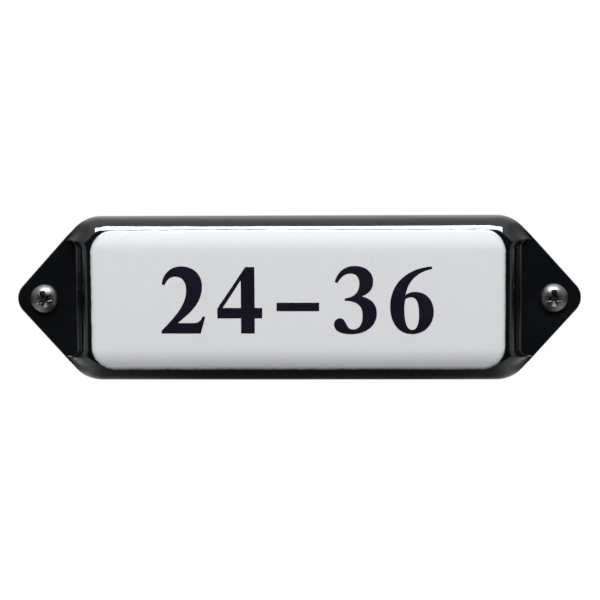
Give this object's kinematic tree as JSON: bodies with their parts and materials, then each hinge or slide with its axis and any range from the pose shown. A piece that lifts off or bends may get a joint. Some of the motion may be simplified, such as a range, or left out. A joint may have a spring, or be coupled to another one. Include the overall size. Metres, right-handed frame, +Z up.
{
  "type": "enamel door plate",
  "caption": "Pressed steel door plate in gloss black enamel, with a raised, crowned white field and a pointed ear at each end that a pan-head screw passes through.",
  "frame": {"origin": "middle of the plate, on the plane of the wall it hangs on", "axes": "+X along the plate to the right as seen from the front, +Y into the wall along the screws, +Z up"},
  "size_m": [0.14, 0.0216, 0.041],
  "materials": {
    "black_enamel": "pressed steel under gloss black vitreous enamel",
    "white_enamel": "gloss white vitreous enamel, fired on",
    "screw_steel": "plain steel, softly brushed"
  },
  "bodies": {
    "root": {"plate": "black_enamel", "white_enamel": "white_enamel", "screw_left": "screw_steel", "screw_right": "screw_steel"}
  },
  "joints": []
}
